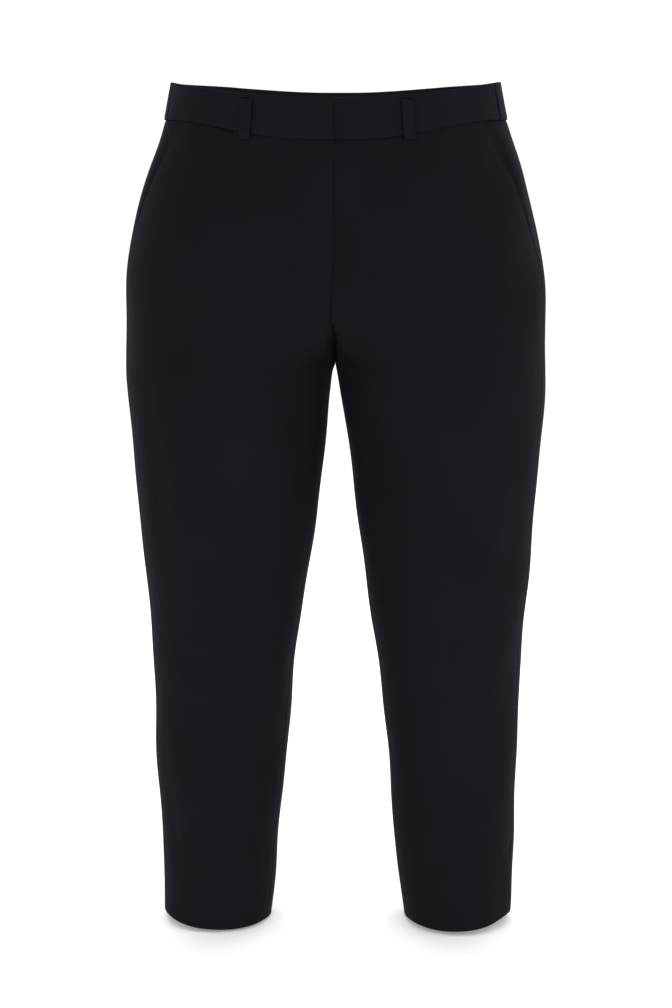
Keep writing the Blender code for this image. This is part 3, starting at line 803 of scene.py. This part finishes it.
def bar_tacks(name, side, top_angle, foot_angle, material):
    """The close zigzag of thread that holds each end of a belt loop."""
    turns = np.arange(2 * TACK_TURNS + 1)
    across = np.linspace(0.5 - TACK_WIDTH / 2, 0.5 + TACK_WIDTH / 2, len(turns))
    vertices, faces = [], []
    for tack in TACKS:
        down = tack + TACK_HALF * np.where(turns % 2, 1.0, -1.0)
        fine = np.linspace(0, turns[-1], TACK_POINTS * (len(turns) - 1) + 1)
        path = loop_face(
            name, side, top_angle, foot_angle,
            np.interp(fine, turns, down), np.interp(fine, turns, across), THREAD / 2,
        )[0]
        add_tube(vertices, faces, path, THREAD)
    mesh = bpy.data.meshes.new(name + "_tacks")
    mesh.from_pydata(vertices, [], faces)
    mesh.shade_smooth()
    mesh.materials.append(material)
    piece = bpy.data.objects.new(name + "_tacks", mesh)
    bpy.context.collection.objects.link(piece)
    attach(piece, "root")


def add_tube(vertices, faces, path, radius):
    """Adds a closed tube along a path."""
    along = np.gradient(path, axis=0)
    along /= np.linalg.norm(along, axis=1, keepdims=True)
    side_way = np.cross(along, THREAD_ACROSS)
    side_way /= np.linalg.norm(side_way, axis=1, keepdims=True)
    other = np.cross(along, side_way)
    first = len(vertices)
    turns = np.linspace(0, 2 * math.pi, THREAD_SIDES, endpoint=False)
    for place, one, two in zip(path, side_way, other):
        for turn in turns:
            vertices.append(tuple(place + radius * (math.cos(turn) * one + math.sin(turn) * two)))
    for ring in range(len(path) - 1):
        here = first + ring * THREAD_SIDES
        there = here + THREAD_SIDES
        for k in range(THREAD_SIDES):
            after = (k + 1) % THREAD_SIDES
            faces.append((here + k, here + after, there + after, there + k))
    last = first + (len(path) - 1) * THREAD_SIDES
    faces.append(tuple(range(first + THREAD_SIDES - 1, first - 1, -1)))
    faces.append(tuple(range(last, last + THREAD_SIDES)))


# ---- Materials ----


def node(tree, kind, **values):
    made = tree.nodes.new(kind)
    for name, value in values.items():
        setattr(made, name, value)
    return made


def noise(tree, place, scale):
    """The output of a noise over the object's own coordinates."""
    made = node(tree, "ShaderNodeTexNoise")
    made.inputs["Scale"].default_value = scale
    made.inputs["Detail"].default_value = NOISE_DETAIL
    tree.links.new(place.outputs["Object"], made.inputs["Vector"])
    return made.outputs["Fac"]


def multiply_add(tree, value, factor, more):
    """The output of value times factor plus more, which is a number or another output."""
    made = node(tree, "ShaderNodeMath", operation="MULTIPLY_ADD")
    tree.links.new(value, made.inputs[0])
    made.inputs[1].default_value = factor
    if isinstance(more, float):
        made.inputs[2].default_value = more
    else:
        tree.links.new(more, made.inputs[2])
    return made.outputs[0]


def suiting(name, colour):
    """Fine twill suiting: slanted ribs, uneven yarns, and a faint cloudiness of the dye."""
    material = bpy.data.materials.new(name)
    material.use_nodes = True
    tree = material.node_tree
    shader = tree.nodes["Principled BSDF"]
    shader.inputs["Roughness"].default_value = ROUGHNESS
    shader.inputs["Specular IOR Level"].default_value = SPECULAR
    shader.inputs["Sheen Weight"].default_value = SHEEN
    shader.inputs["Sheen Roughness"].default_value = SHEEN_ROUGHNESS
    shader.inputs["Sheen Tint"].default_value = (*SHEEN_TINT, 1.0)

    place = node(tree, "ShaderNodeTexCoord")
    scale = node(tree, "ShaderNodeMapping")
    scale.inputs["Scale"].default_value = (1 / WEAVE_PITCH, 1 / WEAVE_PITCH, 1.0)
    tree.links.new(place.outputs["UV"], scale.inputs["Vector"])
    ribs = node(tree, "ShaderNodeTexWave", wave_type="BANDS", bands_direction="DIAGONAL")
    ribs.inputs["Scale"].default_value = 1 / math.pi
    ribs.inputs["Distortion"].default_value = RIB_DISTORTION
    ribs.inputs["Detail"].default_value = RIB_DETAIL
    yarns = node(tree, "ShaderNodeTexWave", wave_type="BANDS", bands_direction="X")
    yarns.inputs["Scale"].default_value = 2 / math.pi
    yarns.inputs["Distortion"].default_value = YARN_DISTORTION
    for wave in (ribs, yarns):
        tree.links.new(scale.outputs["Vector"], wave.inputs["Vector"])
    weave = multiply_add(tree, yarns.outputs["Fac"], YARN_SHARE, ribs.outputs["Fac"])

    tint = node(tree, "ShaderNodeMix", data_type="RGBA")
    for number, share in ((6, 1 - TINT_RANGE), (7, 1 + TINT_RANGE)):
        tint.inputs[number].default_value = (*(share * c for c in colour), 1.0)
    cloud = multiply_add(tree, noise(tree, place, CLOUD_SCALE), CLOUD_SHARE, CLOUD_LEVEL)
    tree.links.new(multiply_add(tree, weave, WEAVE_TINT, cloud), tint.inputs[0])
    tree.links.new(tint.outputs[2], shader.inputs["Base Color"])

    raised = node(tree, "ShaderNodeBump")
    raised.inputs["Strength"].default_value = BUMP_STRENGTH
    raised.inputs["Distance"].default_value = WEAVE_DEPTH
    height = multiply_add(tree, noise(tree, place, FUZZ_SCALE), FUZZ_SHARE, weave)
    tree.links.new(height, raised.inputs["Height"])
    tree.links.new(raised.outputs["Normal"], shader.inputs["Normal"])
    return material


def plain(name, colour, roughness, glow=0.0):
    """An even, dull finish, for the thread and the floor."""
    material = bpy.data.materials.new(name)
    material.use_nodes = True
    shader = material.node_tree.nodes["Principled BSDF"]
    shader.inputs["Base Color"].default_value = (*colour, 1.0)
    shader.inputs["Roughness"].default_value = roughness
    shader.inputs["Specular IOR Level"].default_value = 0.0
    shader.inputs["Emission Color"].default_value = (1.0, 1.0, 1.0, 1.0)
    shader.inputs["Emission Strength"].default_value = glow
    return material


# ---- Stage ----


def make_floor(level):
    half = FLOOR_SIZE / 2
    plan = ((-half, -half), (half, -half), (half, half), (-half, half))
    mesh = bpy.data.meshes.new("floor")
    mesh.from_pydata([(x, y, level) for x, y in plan], [], [(0, 1, 2, 3)])
    mesh.materials.append(plain("floor_white", FLOOR_WHITE, 1.0, FLOOR_GLOW))
    floor = bpy.data.objects.new("floor", mesh)
    bpy.context.collection.objects.link(floor)


def area_light(name, place, aim, size, power):
    light = bpy.data.lights.new(name, "AREA")
    light.shape = "RECTANGLE"
    light.size, light.size_y = size
    light.energy = power
    lamp = bpy.data.objects.new(name, light)
    lamp.location = place
    lamp.rotation_euler = (Vector(aim) - Vector(place)).to_track_quat("-Z", "Y").to_euler()
    bpy.context.collection.objects.link(lamp)


def make_lights():
    world = bpy.data.worlds.new("studio")
    world.use_nodes = True
    background = world.node_tree.nodes["Background"]
    background.inputs["Color"].default_value = (1.0, 1.0, 1.0, 1.0)
    background.inputs["Strength"].default_value = WORLD_STRENGTH
    bpy.context.scene.world = world
    for name, values in LIGHTS.items():
        area_light(name, *values)


def make_camera():
    turn, fall = math.radians(CAMERA_TURN), math.radians(CAMERA_FALL)
    ahead = Vector((
        -math.sin(turn) * math.cos(fall),
        math.cos(turn) * math.cos(fall),
        -math.sin(fall),
    ))
    data = bpy.data.cameras.new("camera")
    data.lens, data.sensor_width = LENS, SENSOR
    camera = bpy.data.objects.new("camera", data)
    camera.location = Vector(CAMERA_AIM) - ahead * CAMERA_DISTANCE
    camera.rotation_euler = ahead.to_track_quat("-Z", "Y").to_euler()
    bpy.context.collection.objects.link(camera)
    bpy.context.scene.camera = camera


# ---- The garment ----

CUTS = {  # width, length and flat area of what shows
    "front": (0.330, 0.960, 0.235),
    "back": (0.400, 0.965, 0.335),
    "hip_panel": (0.040, 0.145, 0.0045),
    "waistband_front": (0.225, 0.050, 0.0100),
    "waistband_back": (0.580, 0.050, 0.0260),
    "belt_loop": (0.0123, 0.052, 0.00063),
}


def dress():
    cloth = suiting("suiting", SUITING)
    # a lighter copy of the same suiting: painted light on the band and its loops
    band_cloth_painted_light = suiting("band_suiting", BAND_SUITING_PAINTED_LIGHT)
    band_inside = suiting("band_inside", BAND_INSIDE)
    for side, word in ((-1, "right"), (1, "left")):
        for face in ("front", "back"):
            panel = leg_panel(side, face, cloth)
            declare(panel, f"{face}_{word}")
        panel, cut = hip_panel(side, cloth), CUTS["hip_panel"]
        declare(panel, f"hip_panel_{word}")

    right_seam, left_seam = (side_turn(SIDE_SEAM, side, BAND_SEAM["side"]) for side in (-1, 1))
    gap = angle_step(0.0, right_seam, GAP / 2)
    right_edge = float(centre_angle(0.0, "front", FLY_EDGE))
    left_edge = float(centre_angle(0.0, "front", FLY_UNDERLAP - FLY_EDGE))
    lengths = {
        "waistband_front_right": ((-1, right_edge), (-1, right_seam + gap), False),
        "waistband_front_left": ((1, left_edge), (1, left_seam + gap), True),
        "waistband_back": ((-1, right_seam - gap), (1, left_seam - gap), False),
    }
    for name, (start, end, lapped) in lengths.items():
        cut = CUTS["waistband_back" if name.endswith("back") else "waistband_front"]
        sheet = band(name, start, end, band_cloth_painted_light, band_inside, lapped)
        declare(sheet, name)

    thread = plain("thread", THREAD_COLOUR, THREAD_ROUGHNESS)
    for name, (side, *degrees) in BELT_LOOPS.items():
        loop = belt_loop(name, side, *np.radians(degrees), band_cloth_painted_light)
        bar_tacks(name, side, *np.radians(degrees), thread)
        declare(loop, name)


def main():
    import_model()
    dress()
    bounds = [list(corner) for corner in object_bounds()]
    make_floor(bounds[0][2] - FLOOR_GAP)
    make_lights()
    make_camera()
    view = bpy.context.scene.view_settings
    view.view_transform = "Standard"


main()
